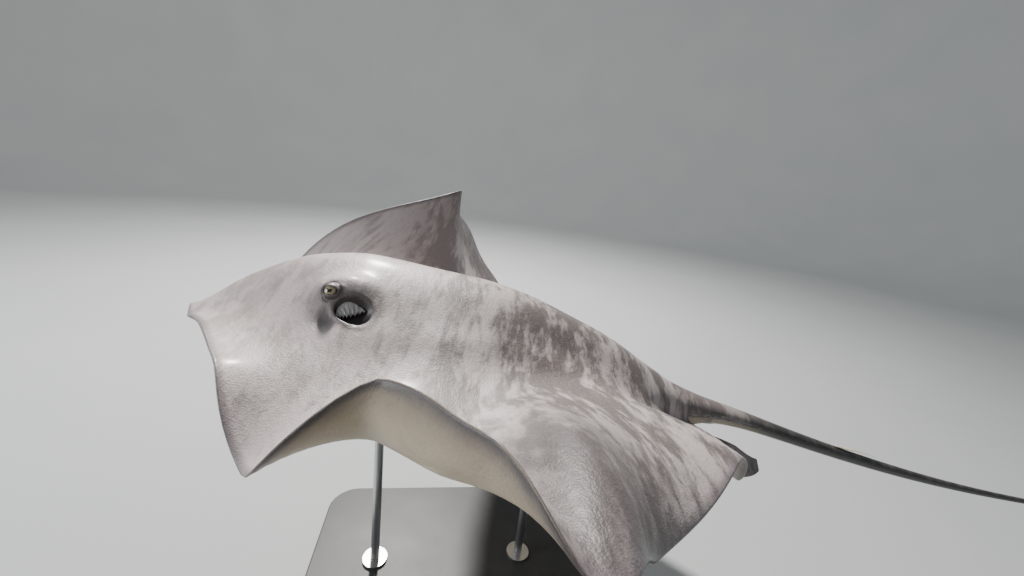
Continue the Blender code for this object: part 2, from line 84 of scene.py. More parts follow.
STING_TIP_HALF_WIDTH, STING_GAP, STING_RISE = 0.0006, 0.0006, 0.006
TAIL_STATION = 2.4
CURL_STATIONS = (0.0, 0.2, 0.4, 0.55, 0.7, 0.85, 1.0, 1.25, 1.55, 2.0, 2.18, TAIL_STATION)
DROOP_STATIONS = (0.0, 0.2, 0.4, 0.8, 1.2, 1.6, 2.0, 2.18, TAIL_STATION)
LEFT_CURL = (-25, 20, 25, -34, 101, 70, -19, -86, -58, -16, 6, 8)
RIGHT_CURL = (-25, -78, -34, -11, 16, -20, -15, 0, -2, -8, 6, 8)
LEFT_DROOP = (0, 5, -5, 9, 42, 45, 3, 0, 0)
RIGHT_DROOP = (0, 1, 77, 49, 10, -12, -3, 0, 0)
LEFT_STIFFNESS = (2.5, 3.5, 4, 4, 4, 4, 4, 3, 2, 2, 2, 2)
RIGHT_STIFFNESS = (2.5, 2, 1.6, 1.6, 1.6, 1.6, 1.6, 1.6, 2, 2, 2, 2)
MIDDLE_CURL, MIDDLE_STIFFNESS = (-25, 8), 2.5
FIN_BENDS_V, FIN_FREE_V, UPRIGHT_V = 0.07, 0.19, 0.20
SNOUT_LENGTH = 0.22
STIFF_CORE = 0.20
DROOP_FULL = 0.4
NOSE_UP = 14.0
CENTRE_HEIGHT = 0.52
TAIL_AT = (0.0, 0.25, 0.6, 1.0, 1.5, TAIL_LENGTH)
TAIL_DOWN = (0, 7, 4, -2, -6, -9)
TAIL_LEFT = (0, 2, 4, 6, 5, 0)

# ---- the skin's own detail ----
SKIN_INSET = 0.0004              # the skin lies this far inside the solids
RIM = 0.004                      # breadth of the rounded fin margin
LID_REACH = 2.0                  # eye radii over which the lids blend into the head
LID_THICK = 0.0008
LID_FOLD = 0.0014                # how far the fold over the eye stands out
SPIRACLE_LENGTH, SPIRACLE_BREADTH = 0.029, 0.0165        # half axes of the opening
SPIRACLE_DEPTH = 0.019
SPIRACLE_SLANT = math.radians(14)
# The skin over this dip is also painted darker, partly pigment and partly painted shade.
HOLLOW_U, HOLLOW_V = 0.238, 0.132            # dusky dip in front of the spiracle
MOUTH_U, MOUTH_HALF = 0.222, 0.046
NOSTRIL_U, NOSTRIL_V = 0.190, 0.050
GILL_COUNT, GILL_FIRST_U, GILL_STEP = 5, 0.300, 0.030
GILL_V, GILL_HALF = 0.118, 0.015
VENT_U, VENT_HALF = 0.925, 0.016
TAIL_BLEND = 0.10                # length over which the trunk's open end becomes the round tail
CORNER_SHARE = 0.35              # place of the last grid line within the rounded margin
VALVE_FOLDS = 47                 # sets the number of folds along a spiracle's valve

# ---- camera: a wide lens close to the left eye, a little above it ----
CAMERA_AT = Vector((0.7154, -0.0840, 0.8677))
CAMERA_HEADING = 79.29           # degrees from straight ahead (+Y) towards the animal's right
CAMERA_DIP = 15.52
CAMERA_ROLL = 7.29
LENS = 14.19


# ---------- the flat outline and the flesh ----------
def ease(x):
    x = np.clip(x, 0, 1)
    return x * x * (3 - 2 * x)


def curve(x, xs, ys):
    """Smooth curve through the stations (xs, ys) that never overshoots and ends level."""
    xs, ys = np.asarray(xs, float), np.asarray(ys, float)
    step = np.diff(xs)
    grade = np.diff(ys) / step
    slope = np.zeros(len(xs))
    for i in range(1, len(xs) - 1):
        if grade[i - 1] * grade[i] > 0:
            before, after = 2 * step[i] + step[i - 1], step[i] + 2 * step[i - 1]
            slope[i] = (before + after) / (before / grade[i - 1] + after / grade[i])
    x = np.clip(x, xs[0], xs[-1])
    i = np.clip(np.searchsorted(xs, x) - 1, 0, len(xs) - 2)
    t = (x - xs[i]) / step[i]
    return ((2 * t ** 3 - 3 * t ** 2 + 1) * ys[i] + (t ** 3 - 2 * t ** 2 + t) * step[i] * slope[i]
            + (3 * t ** 2 - 2 * t ** 3) * ys[i + 1] + (t ** 3 - t ** 2) * step[i] * slope[i + 1])


def bezier(a, b, c, d, count):
    t = np.linspace(0, 1, count)[:, None]
    return ((1 - t) ** 3 * np.array(a) + 3 * (1 - t) ** 2 * t * np.array(b)
            + 3 * (1 - t) * t * t * np.array(c) + t ** 3 * np.array(d))


def half_outline(count=48, rounding=6):
    corner = (CORNER_U, HALF_WIDTH)
    lead = bezier((0, 0), (0.03, 0.10), (CORNER_U - 0.15, HALF_WIDTH - 0.12), corner, count)
    trail = bezier(corner, (CORNER_U + 0.10, HALF_WIDTH - 0.07), (DISC_LENGTH - 0.10, 0.27),
                   (DISC_LENGTH, REAR_TIP_V), count)
    line = np.vstack([lead, trail[1:]])
    for _ in range(rounding):
        line[1:-1] = 0.25 * line[:-2] + 0.5 * line[1:-1] + 0.25 * line[2:]
    line[:, 1] *= HALF_WIDTH / line[:, 1].max()
    station = np.concatenate([np.linspace(0, 1, count), np.linspace(1, 2, count)[1:]])
    under_tail = (DISC_LENGTH, 0.0)
    return np.vstack([line, under_tail]), np.append(station, TAIL_STATION)


def soften(values, passes=18):
    """Round the kinks out of a table of equal steps; its ends stay."""
    for _ in range(passes):
        values[1:-1] = 0.25 * values[:-2] + 0.5 * values[1:-1] + 0.25 * values[2:]
    return values


MARGIN, MARGIN_STATION = half_outline()
MARGIN_ANGLE = np.arctan2(MARGIN[:, 1], CENTRE_U - MARGIN[:, 0])
FAN_ANGLE = np.linspace(0, math.pi, 181)
FAN_STATION = soften(np.interp(FAN_ANGLE, MARGIN_ANGLE, MARGIN_STATION))
MARGIN_RADIUS = np.hypot(MARGIN[:, 0] - CENTRE_U, MARGIN[:, 1])
FAN_RADIUS = soften(np.interp(FAN_ANGLE, MARGIN_ANGLE, MARGIN_RADIUS))


def half_width(u, least=0.001):
    return np.maximum(np.interp(u, MARGIN[:-1, 0], MARGIN[:-1, 1]), least)


def tail_half_width(s):
    s = np.asarray(s, float)
    flare = TAIL_ROOT_FLARE * np.exp(-s / TAIL_FLARE_LENGTH)
    return TAIL_TIP_RADIUS + flare + TAIL_WHIP * (1 - s / TAIL_LENGTH) ** TAIL_TAPER


def tail_half_height(s):
    rounder = ease(np.asarray(s) / TAIL_ROUND_AT)
    return tail_half_width(s) * (TAIL_FLAT + (TAIL_ROUND - TAIL_FLAT) * rounder)


def core_half_width(u, tip_share=0.62):
    u = np.asarray(u, float)
    tip = half_width(u) * (1 - (1 - tip_share) * ease((u - 0.01) / 0.09))
    narrowing = ease((u - TRUNK_NARROWS_U) / (TAIL_START_U - TRUNK_NARROWS_U))
    return np.minimum(tip, CORE_HALF_WIDTH + (tail_half_width(0.0) - CORE_HALF_WIDTH) * narrowing)


def fin_inner(u):
    root = core_half_width(np.minimum(u, TAIL_START_U))
    return root + (REAR_MARGIN_V - root) * ease((u - TAIL_START_U) / 0.08)


def section(u, v, spread):
    root = ease((u - ROOT_FORMS_U) / (TAIL_START_U - ROOT_FORMS_U))
    bell = np.exp(-(v / spread) ** 2)
    reach = core_half_width(np.minimum(u, TAIL_START_U)) + 0.001
    return bell * (1 - root) + np.sqrt(np.clip(1 - (v / reach) ** 2, 0, 1)) * root


def wing(u):
    return ease(u / 0.2) * (1 - 0.8 * ease((u - 0.75) / 0.25))


def top_height(u, v):
    across = np.clip(v / half_width(u), 0, 1)
    spread = np.interp(u, RIDGE_U, BACK_SPREAD)
    hump = HUMP_HEIGHT * np.exp(-((u - EYE_U - HUMP_BEHIND_EYE) / HUMP_LENGTH) ** 2
                                - ((v - EYE_V) / HUMP_WIDTH) ** 2)
    back = curve(u, RIDGE_U, BACK_HEIGHT) * section(u, v, spread)
    return EDGE + (1 - across ** 8) * (back + wing(u) * WING_TOP * (1 - across) + hump)


def bottom_height(u, v):
    across = np.clip(v / half_width(u), 0, 1)
    spread = BELLY_SPREAD * np.interp(u, RIDGE_U, BACK_SPREAD)
    belly = curve(u, RIDGE_U, BELLY_DEPTH) * section(u, v, spread)
    return -EDGE - (1 - across ** 8) * (belly + wing(u) * WING_BOTTOM * (1 - across))


# ---------- the pose ----------
def fin_sheet(side, u, v, samples=24):
    left = side > 0
    back = CENTRE_U - u
    radius = np.hypot(back, v)
    angle = np.arctan2(v, back)
    station = np.interp(angle, FAN_ANGLE, FAN_STATION)
    share = radius / np.interp(angle, FAN_ANGLE, FAN_RADIUS)
    curl = np.radians(curve(station, CURL_STATIONS, LEFT_CURL if left else RIGHT_CURL))
    droop = np.radians(curve(station, DROOP_STATIONS, LEFT_DROOP if left else RIGHT_DROOP))
    stiff = curve(station, CURL_STATIONS, LEFT_STIFFNESS if left else RIGHT_STIFFNESS)
    step = (np.arange(samples) + 0.5) / samples
    free = np.clip((share[..., None] * step - STIFF_CORE) / (1 - STIFF_CORE), 0, 1)
    fin = droop[..., None] * ease(free / DROOP_FULL) + curl[..., None] * free ** stiff[..., None]
    middle = np.radians(np.where(station < 1, *MIDDLE_CURL))[..., None] * free ** MIDDLE_STIFFNESS
    stiff_v = FIN_BENDS_V * ease((CENTRE_U - back[..., None] * step) / SNOUT_LENGTH)
    own = ease((v[..., None] * step - stiff_v) / (FIN_FREE_V - FIN_BENDS_V))
    rise = middle + (fin - middle) * own
    out = np.cos(rise).mean(-1)
    return np.stack([side * v * out, CENTRE_U - back * out, radius * np.sin(rise).mean(-1)], -1)


def pose(side, u, v, h):
    u, v, h = np.broadcast_arrays(np.asarray(u, float), np.asarray(v, float), np.asarray(h, float))
    here = fin_sheet(side, u, v)
    reach = 0.006 + 1.4 * np.abs(h)
    along = fin_sheet(side, u + reach, v) - fin_sheet(side, u - reach, v)
    across = fin_sheet(side, u, v + reach) - fin_sheet(side, u, np.maximum(v - reach, 0))
    normal = side * np.cross(across, along)
    normal /= np.linalg.norm(normal, axis=-1, keepdims=True)
    normal[..., 0] *= ease(v / UPRIGHT_V)
    normal /= np.linalg.norm(normal, axis=-1, keepdims=True)
    return here + normal * h[..., None]


def stand(points):
    turn = -math.radians(NOSE_UP)
    x, y, z = points[..., 0], points[..., 1] - CENTRE_U, points[..., 2]
    return np.stack([x, y * math.cos(turn) - z * math.sin(turn),
                     y * math.sin(turn) + z * math.cos(turn) + CENTRE_HEIGHT], -1)


def place(v, u, h):
    """Row-frame places of skin points; v is signed."""
    left = stand(pose(1, u, np.abs(v), h))
    right = stand(pose(-1, u, np.abs(v), h))
    return np.where((v >= 0)[:, None], left, right)


def tail_root():
    lift = (top_height(TAIL_START_U, 0.0) + bottom_height(TAIL_START_U, 0.0)) / 2
    return pose(1, TAIL_START_U, 0.0, lift)


def trunk_end_slope(reach=0.004):
    before, end = pose(1, TAIL_START_U - reach, 0.0, 0.0), pose(1, TAIL_START_U, 0.0, 0.0)
    return math.atan2(before[2] - end[2], end[1] - before[1])


def tail_line(count=400):
    s = np.linspace(0, TAIL_LENGTH, count)
    down = trunk_end_slope() + np.radians(curve(s, TAIL_AT, TAIL_DOWN))
    left = np.radians(curve(s, TAIL_AT, TAIL_LEFT))
    ahead = np.stack([np.sin(left) * np.cos(down), np.cos(left) * np.cos(down), -np.sin(down)], -1)
    step = np.diff(s)[:, None] * (ahead[1:] + ahead[:-1]) / 2
    centres = tail_root() + np.vstack([np.zeros(3), np.cumsum(step, 0)])
    right = np.cross(ahead, (0, 0, 1))
    right /= np.linalg.norm(right, axis=-1, keepdims=True)
    return s, centres, right, np.cross(right, ahead)


def tail_places(s):
    """Centre, rightward and upward direction at each distance s behind the trunk."""
    line, *fields = tail_line()
    return [np.stack([np.interp(s, line, field[:, k]) for k in range(3)], -1) for field in fields]


# ---------- relief of the skin, as heights over the flat sheet ----------
def spiracle_field(u, v):
    """0 at the opening's centre and 1 on its rim; also how far forward and inward a point lies."""
    du, dv = u - SPIRACLE_U, v - SPIRACLE_V
    along = du * math.cos(SPIRACLE_SLANT) + dv * math.sin(SPIRACLE_SLANT)
    out = dv * math.cos(SPIRACLE_SLANT) - du * math.sin(SPIRACLE_SLANT)
    pinch = 1 - 0.25 * np.clip(-along / SPIRACLE_LENGTH, -1, 1)
    return np.hypot(along / SPIRACLE_LENGTH, out / (SPIRACLE_BREADTH * pinch)), along, out


def slit(distance, half):
    """Profile of a closed slit: 1 in its bed, a soft lip beside it, 0 away from it."""
    bed = np.exp(-(distance / half) ** 2)
    lip = np.exp(-((distance - 2.6 * half) / (1.3 * half)) ** 2)
    return bed, lip


def top_relief(u, v):
    rim, _, out = spiracle_field(u, v)
    pit = -SPIRACLE_DEPTH * ease((1.04 - rim) / 0.42)
    lip = 0.0022 * np.exp(-((rim - 1.16) / 0.14) ** 2) * (0.6 + 0.4 * np.tanh(out / 0.01))
    on_snout = ease(u / 0.08) * (1 - ease((u - 0.12) / 0.10))
    on_trunk = ease((u - 0.36) / 0.12) * (1 - ease((u - 0.80) / 0.1))
    on_shoulder = ease((u - 0.20) / 0.1) * (1 - ease((u - 0.55) / 0.2))
    snout_ridge = 0.0016 * np.exp(-(v / 0.012) ** 2) * on_snout
    spine_furrow = -0.0018 * np.exp(-(v / 0.010) ** 2) * on_trunk
    shoulder = 0.003 * np.exp(-((v - 0.150) / 0.022) ** 2) * on_shoulder
    hollow = -0.0045 * np.exp(-((u - HOLLOW_U) / 0.016) ** 2 - ((v - HOLLOW_V) / 0.013) ** 2)
    return pit + lip + snout_ridge + spine_furrow + shoulder + hollow


def bottom_relief(u, v):
    """Mouth, nostrils with their curtain, gill slits and vent; positive is further down."""
    mouth_line = MOUTH_U + 0.012 * np.cos(np.clip(v / MOUTH_HALF, 0, 1) * math.pi) - 0.006
    bed, lip = slit(np.abs(u - mouth_line), 0.0028)
    inside = 1 - ease((v - MOUTH_HALF) / 0.010)
    relief = inside * (-0.0065 * bed + 0.0028 * lip)
    curtain = ease((u - 0.176) / 0.008) * (1 - ease((u - mouth_line + 0.009) / 0.003))
    relief += 0.0022 * curtain * (1 - ease((v - 0.042) / 0.008))
    nostril = np.hypot((u - NOSTRIL_U + 0.25 * (v - NOSTRIL_V)) / 0.016, (v - NOSTRIL_V) / 0.0065)
    relief += -0.0055 * ease(1.15 - nostril) + 0.0014 * np.exp(-((nostril - 1.3) / 0.3) ** 2)
    for number in range(GILL_COUNT):
        line_u = GILL_FIRST_U + number * GILL_STEP + 0.10 * (v - GILL_V)
        middle_v = GILL_V - 0.006 * number
        bed, lip = slit(np.abs(u - line_u + 0.006 * np.cos((v - middle_v) / GILL_HALF)), 0.0022)
        length = 1 - ease((np.abs(v - middle_v) - GILL_HALF) / 0.006)
        relief += length * (-0.0042 * bed + 0.0012 * lip)
    bed, lip = slit(v, 0.0028)
    relief += (-0.006 * bed + 0.002 * lip) * (1 - ease((np.abs(u - VENT_U) - VENT_HALF) / 0.01))
    return relief


def margin_roundness(u, v):
    """1 on the fins' flats and 0 on their free edges, along a quarter circle between."""
    gap = half_width(u) - v
    gap = np.minimum(gap, np.where(u > TAIL_START_U, v - fin_inner(u), 1.0))
    gap = np.minimum(gap, DISC_LENGTH - u)
    gap = np.minimum(gap, u)
    return np.sqrt(np.clip(1 - (1 - np.clip(gap / RIM, 0, 1)) ** 2, 0, 1))


def skin_height(u, v, layer):
    """Height of the skin over the sheet; the layer picks back, belly or edge."""
    back = top_height(u, v) - SKIN_INSET + top_relief(u, v)
    belly = bottom_height(u, v) + SKIN_INSET - bottom_relief(u, v)
    full = np.where(layer > 0, back, belly)
    return full * margin_roundness(u, v) * np.abs(layer)


# ---------- flat mesh of the disc ----------
def disc_rows():
    tip = 0.06 * (1 - np.cos(np.linspace(0, math.pi / 2, 9)))
    body = np.linspace(tip[-1], TAIL_START_U, 90)[1:]
    lobes = np.linspace(TAIL_START_U, DISC_LENGTH - RIM, 9)[1:]
    return tip, body, np.append(lobes, [DISC_LENGTH - CORNER_SHARE * RIM, DISC_LENGTH])


def flat_disc(core_columns=9, fin_columns=40):
    """Closed flat mesh of (signed v, u, layer), open only where the tail starts."""
    tip, body, lobes = disc_rows()
    us = np.concatenate([tip, body, lobes])
    root_row = len(tip) + len(body) - 1
    verts, faces, index = [], [], {}

    def vertex(row, column, layer):
        on_margin = abs(column) == last or row in (0, len(us) - 1)
        beside_tail = row > root_row and abs(column) == core_columns
        key = (row, column, 0 if on_margin or beside_tail else layer)
        if key not in index:
            index[key] = len(verts)
            verts.append((math.copysign(columns[row][abs(column)], column), us[row], key[2]))
        return index[key]

    columns = []
    for row, u in enumerate(us):
        outer = float(half_width(u))
        rim = min(RIM, 0.25 * outer)
        inner = float(core_half_width(u) if row <= root_row else fin_inner(u))
        core = inner * np.linspace(0, 1, core_columns + 1)
        fin = inner + (outer - rim - inner) * np.linspace(0, 1, fin_columns + 1)[1:]
        columns.append(np.concatenate([core, fin, [outer - CORNER_SHARE * rim, outer]]))
    last = len(columns[0]) - 1
    for row in range(len(us) - 1):
        for column in range(-last, last):
            if row >= root_row and -core_columns <= column < core_columns:
                continue
            for layer in (1, -1):
                corners = [vertex(row, column, layer), vertex(row, column + 1, layer),
                           vertex(row + 1, column + 1, layer), vertex(row + 1, column, layer)]
                corners = list(dict.fromkeys(corners))
                faces.append(corners if layer < 0 else corners[::-1])
    for column in (-core_columns, core_columns):
        wall = [vertex(root_row, column, 1), vertex(root_row, column, -1),
                vertex(root_row + 1, column, 1)]
        faces.append(wall if column > 0 else wall[::-1])
    return verts, faces


def refine(bm, wanted):
    """Halve the grid where wanted(v, u, layer) holds at both ends of an edge."""
    edges = []
    for edge in bm.edges:
        if all(wanted(*vert.co) for vert in edge.verts):
            edges.append(edge)
    bmesh.ops.subdivide_edges(bm, edges=edges, cuts=1, use_grid_fill=True)


def near_eye(margin):
    def wanted(v, u, layer):
        du = (u - (EYE_U + SPIRACLE_U) / 2) / (0.050 + margin)
        dv = (abs(v) - (EYE_V + SPIRACLE_V) / 2 - 0.004) / (0.032 + margin)
        return layer > 0.5 and du * du + dv * dv < 1
    return wanted


def near_lids(v, u, layer):
    return layer > 0.5 and math.hypot(u - EYE_U, abs(v) - EYE_V - EYE_OUTWARD) < 1.5 * EYE_RADIUS


def near_mouth(v, u, layer):
    return layer < -0.5 and 0.16 < u < 0.25 and abs(v) < 0.075


def near_gills(v, u, layer):
    return layer < -0.5 and 0.28 < u < 0.45 and 0.07 < abs(v) < 0.145


def near_vent(v, u, layer):
    return layer < -0.5 and 0.89 < u < 0.948 and abs(v) < 0.02


def refined_disc():
    verts, faces = flat_disc()
    mesh = bpy.data.meshes.new("disc")
    mesh.from_pydata(verts, [], faces)
    bm = bmesh.new()
    bm.from_mesh(mesh)
    refine(bm, lambda v, u, layer: layer > 0.5 and u < TAIL_START_U - 0.02)
    refine(bm, near_eye(0.012))
    refine(bm, near_eye(0.004))
    refine(bm, near_eye(-0.001))
    refine(bm, near_lids)
    for region in (near_mouth, near_gills, near_vent):
        for _ in range(2):
            refine(bm, region)
    refine(bm, near_mouth)
    bmesh.ops.triangulate(bm, faces=[f for f in bm.faces if len(f.verts) > 4])
    return bm


# ---------- eyes ----------
class Eye:
    """Place and axes of one eye: gaze points out of the socket and up towards the upper lid."""

    def __init__(self, side):
        self.side = side
        v = EYE_V + EYE_OUTWARD
        self.centre = stand(pose(side, EYE_U, v, top_height(EYE_U, v) - EYE_SUNK * EYE_RADIUS))
        gaze = np.array([0.80 * side, -0.22, 0.56])
        self.gaze = gaze / np.linalg.norm(gaze)
        back = np.cross(self.gaze, (0, 0, 1)) * side
        self.back = back / np.linalg.norm(back)
        self.up = np.cross(self.back, self.gaze) * side

    def fit_lids(self, points):
        """Draw the skin round the eyeball: behind it in the opening, and over it as lids."""
        offset = points - self.centre
        near = np.linalg.norm(offset, axis=1) < 3.0 * EYE_RADIUS
        local = offset[near]
        head, up, back = local @ self.gaze, local @ self.up, local @ self.back
        out = np.maximum(np.hypot(up, back), 1e-6)
        high, along = up / out, back / out
        opening = EYE_RADIUS * np.where(up > 0, 0.38 + 0.44 * along ** 2, 0.50 + 0.32 * along ** 2)
        ball = np.sqrt(np.clip((EYE_RADIUS + LID_THICK) ** 2 - out ** 2, 0, None))
        fold = LID_FOLD * (0.45 + 0.75 * np.clip(high + 0.2, 0, 1))
        lid = ball + fold * np.exp(-((out - opening - 0.0016) / 0.0020) ** 2)
        over = np.maximum(lid, head) + 0.0012 * np.exp(-np.abs(lid - head) / 0.0015)
        groove = -0.0016 * np.exp(-((out - 1.12 * EYE_RADIUS) / 0.0024) ** 2)
        brow = 0.0030 * np.exp(-((up - 0.85 * EYE_RADIUS) / 0.0040) ** 2 - (back / 0.020) ** 2)
        outside = over + groove + brow
        inside = np.sqrt(np.clip((EYE_RADIUS - 0.0028) ** 2 - out ** 2, 0, None))
        open_share = ease((opening - out) / 0.0010 + 0.5)
        target = outside * (1 - open_share) + inside * open_share
        blend = ease((out / EYE_RADIUS - 1.2) / (LID_REACH - 1.2))
        target = target * (1 - blend) + head * blend
        points[near] += (target - head)[:, None] * self.gaze
        return points


# ---------- skin mesh ----------
def tail_rings(ring, ring_flat):
    """Rings of the tail behind the trunk's open end, each with its flat coordinates."""
    s = np.concatenate([np.linspace(0, TAIL_BLEND, 14)[1:],
                        np.linspace(TAIL_BLEND, TAIL_LENGTH - 0.004, 170)[1:], [TAIL_LENGTH - 0.001]])
    centres, rights, ups = stood_up(tail_places(np.append(0.0, s)))
    x = (ring - centres[0]) @ rights[0]
    z = (ring - centres[0]) @ ups[0]
    lag = (ring - centres[0]) @ np.cross(ups[0], rights[0])
    angle = np.arctan2(z / tail_half_height(0.0), x / tail_half_width(0.0))
    rings, flats = [], []
    for i, at in enumerate(s, start=1):
        wide = float(tail_half_width(at)) - SKIN_INSET
        high = float(tail_half_height(at)) - SKIN_INSET
        if at > TAIL_LENGTH - 0.002:
            wide, high = 0.6 * wide, 0.6 * high
        keep = 1 - ease(at / TAIL_BLEND)
        shrink = wide / float(tail_half_width(0.0))
        px = x * shrink * keep + wide * np.cos(angle) * (1 - keep)
        pz = z * shrink * keep + high * np.sin(angle) * (1 - keep)
        ahead = np.cross(ups[i], rights[i])
        rings.append(centres[i] + np.outer(px, rights[i]) + np.outer(pz, ups[i])
                     + np.outer(lag * keep * keep, ahead))
        layer = np.clip(2.5 * np.sin(angle), -1, 1)
        flats.append(np.stack([wide * np.cos(angle), np.full(len(x), TAIL_START_U + at), layer], 1))
    return rings, flats


def stood_up(places):
    """Tail places in the row frame: the centres are stood up, the directions only turned."""
    centres, rights, ups = places
    origin = stand(np.zeros(3))
    return stand(centres), stand(rights) - origin, stand(ups) - origin


def pelvic_place(side, u, v, h):
    slope = trunk_end_slope() + math.radians(PELVIC_PITCH)
    hang = math.radians(PELVIC_HANG)
    root = tail_root()
    back = u - TAIL_START_U
    out = np.maximum(v - tail_half_width(0.0), 0)
    low = PELVIC_DROP + back * math.sin(slope) + out * math.sin(hang)
    x = side * (v + out * (math.cos(hang) - 1) + h * math.sin(hang))
    y = root[1] + back * math.cos(slope)
    return stand(np.stack([x, y, root[2] - low + h * math.cos(hang)], -1))


def pelvic_shell(side, along=34, across=16):
    """Closed lobe with rounded edges; its root runs into the flesh beside the vent."""
    length = PELVIC_END_U - PELVIC_START_U
    us = PELVIC_START_U + length * np.sin(np.linspace(0.06, 1, along) * math.pi / 2)
    grow = (us - PELVIC_START_U) / length
    widening = np.sin(np.clip(grow * 1.3, 0, 1) * math.pi / 2) * np.sqrt(1 - 0.75 * grow ** 5)
    outer = PELVIC_ROOT_V + PELVIC_GROWTH * widening - SKIN_INSET
    beside_tail = tail_half_width(np.maximum(us - TAIL_START_U, 0)) + PELVIC_GAP
    inner = beside_tail + PELVIC_NOTCH * ease((grow - 0.5) / 0.5)
    inner -= 0.030 * (1 - ease((grow - 0.15) / 0.35))
    share = 0.5 - 0.5 * np.cos(np.linspace(0, math.pi, across))
    u = np.repeat(us[:, None], across, 1)
    v = inner[:, None] + share[None, :] * (outer - inner)[:, None]
    thick = EDGE + PELVIC_FLESH * (1 - share[None, :] ** 3) * (1 - grow[:, None] ** 3)
    thick = thick * np.sqrt(np.clip(4 * share * (1 - share), 0, 1)) ** 0.6
    thick *= np.sqrt(np.clip((1 - grow[:, None]) / 0.03, 0, 1))
    points, flats = [], []
    for sign in (1, -1):
        points.append(pelvic_place(side, u, v, sign * thick).reshape(-1, 3))
        flats.append(np.stack([side * v, u, np.full(u.shape, float(sign))], -1).reshape(-1, 3))
    return np.vstack(points), np.vstack(flats), two_layers(along, across)


def open_ring(bm):
    """The vertices round the tail opening, in order."""
    edges = {e for e in bm.edges if len(e.link_faces) == 1}
    start = next(iter(sorted(edges, key=lambda e: e.index)))
    ring = [start.verts[0], start.verts[1]]
    edges.discard(start)
    while edges:
        step = next(e for e in ring[-1].link_edges if e in edges)
        edges.discard(step)
        ring.append(step.other_vert(ring[-1]))
    return ring[:-1]


def build_skin(finish, eyes):
    bm = refined_disc()
    bm.verts.index_update()
    bm.edges.index_update()
    ring = [vert.index for vert in open_ring(bm)]
    flat = np.array([vert.co for vert in bm.verts])
    faces = [[vert.index for vert in face.verts] for face in bm.faces]
    bm.free()
    v, u, layer = flat.T
    points = place(v, u, skin_height(u, np.abs(v), layer))
    for eye in eyes:
        points = eye.fit_lids(points)
    rings, flats = tail_rings(points[ring], flat[ring])
    count = len(ring)
    before = ring
    for number in range(len(rings)):
        here = [len(points) + number * count + j for j in range(count)]
        for j in range(count):
            k = (j + 1) % count
            faces.append([before[j], before[k], here[k], here[j]])
        before = here
    faces.append(before)
    points = np.vstack([points, *rings])
    flat = np.vstack([flat, *flats])
    for side in (1, -1):
        more, more_flat, more_faces = pelvic_shell(side)
        faces.extend([i + len(points) for i in face] for face in more_faces)
        points = np.vstack([points, more])
        flat = np.vstack([flat, more_flat])
    made = add_mesh("skin", points, faces, finish)
    store(made, "flat", flat)
    store(made, "marks_and_shade", skin_marks_and_shade(flat, points, eyes))
    store(made, "fin_band_and_shade", fin_band_and_shade(flat))
    close_up(made)
    return made


def skin_marks_and_shade(flat, points, eyes):
    """For each vertex: nearness to the fin margin, darkness round the eyes and spiracles (partly
    pigment, partly painted shade in the pits, sockets and hollows), share of tail colour.
    """
    v, u = np.abs(flat[:, 0]), flat[:, 1]
    on_disc = np.abs(flat[:, 2]) > 0.999
    gap = np.minimum(half_width(u) - v, DISC_LENGTH - u)
    margin = np.where(on_disc & (u < DISC_LENGTH), 1 - ease((gap - 0.004) / 0.016), 0.0)
    # Painted shade: the spiracle's pit is painted near black, and its rim and the hollow in front of
    # it are darkened, partly pigment and partly painted shade.
    rim, _, _ = spiracle_field(u, v)
    pit_shade = ease((1.05 - rim) / 0.14)
    rim_shade_and_pigment = 0.62 * np.exp(-np.clip(rim - 1.0, 0, None) ** 2 / 0.10)
    front = 0.74 * np.exp(-((u - HOLLOW_U) / 0.020) ** 2 - ((v - HOLLOW_V) / 0.016) ** 2)
    pigment_and_shade = np.maximum(pit_shade, np.maximum(rim_shade_and_pigment, front)) * (flat[:, 2] > 0.5)
    for eye in eyes:
        # Painted shade in the gap round each eyeball, fading out over the skin round the eye, which is
        # partly darker pigment.
        out = np.linalg.norm(points - eye.centre, axis=1) / EYE_RADIUS
        pigment_and_shade = np.maximum(pigment_and_shade, 0.92 * (1 - ease((out - 1.02) / 0.22)))
        pigment_and_shade = np.maximum(pigment_and_shade, 0.55 * (1 - ease((out - 1.1) / 0.9)))
    tail = ease((u - TAIL_START_U - 0.02) / 0.30)
    return np.stack([margin, pigment_and_shade, tail], 1)


def fin_band_and_shade(flat):
    """For each vertex: the broad dusky band inside the fin margin, and painted shade on the outer
    front fin for the shadowed hollow of a raised fin.
    """
    v, u = np.abs(flat[:, 0]), flat[:, 1]
    on_disc = u < DISC_LENGTH
    gap = np.where(on_disc, np.minimum(half_width(u) - v, DISC_LENGTH - u), 1.0)
    band = 1 - ease((gap - 0.006) / 0.050)
    # Painted shade: stands in for the shadow inside the raised fin's hollow.
    outer = ease((v - 0.30) / 0.16) * ease((u - 0.22) / 0.10) * (1 - ease((u - 0.56) / 0.16)) * on_disc
    return np.stack([band, outer, np.zeros(len(u))], 1)


# ---------- mesh helpers ----------
def add_mesh(name, points, faces, finish):
    mesh = bpy.data.meshes.new(name)
    mesh.from_pydata([tuple(p) for p in points], [], [list(f) for f in faces])
    mesh.materials.append(finish)
    mesh.shade_smooth()
    made = bpy.data.objects.new(name, mesh)
    bpy.context.scene.collection.objects.link(made)
    return made


def store(made, name, values):
    """Vectors, one for each vertex, that the materials read by name."""
    attribute = made.data.attributes.new(name, "FLOAT_VECTOR", "POINT")
    attribute.data.foreach_set("vector", np.asarray(values, np.float32).ravel())


def close_up(made):
    """Merge doubled points and turn every face outwards."""
    bm = bmesh.new()
    bm.from_mesh(made.data)
    bmesh.ops.remove_doubles(bm, verts=bm.verts, dist=2e-6)
    bmesh.ops.dissolve_degenerate(bm, edges=bm.edges, dist=1e-6)
    bmesh.ops.recalc_face_normals(bm, faces=bm.faces)
    bm.to_mesh(made.data)
    bm.free()
    made.data.shade_smooth()


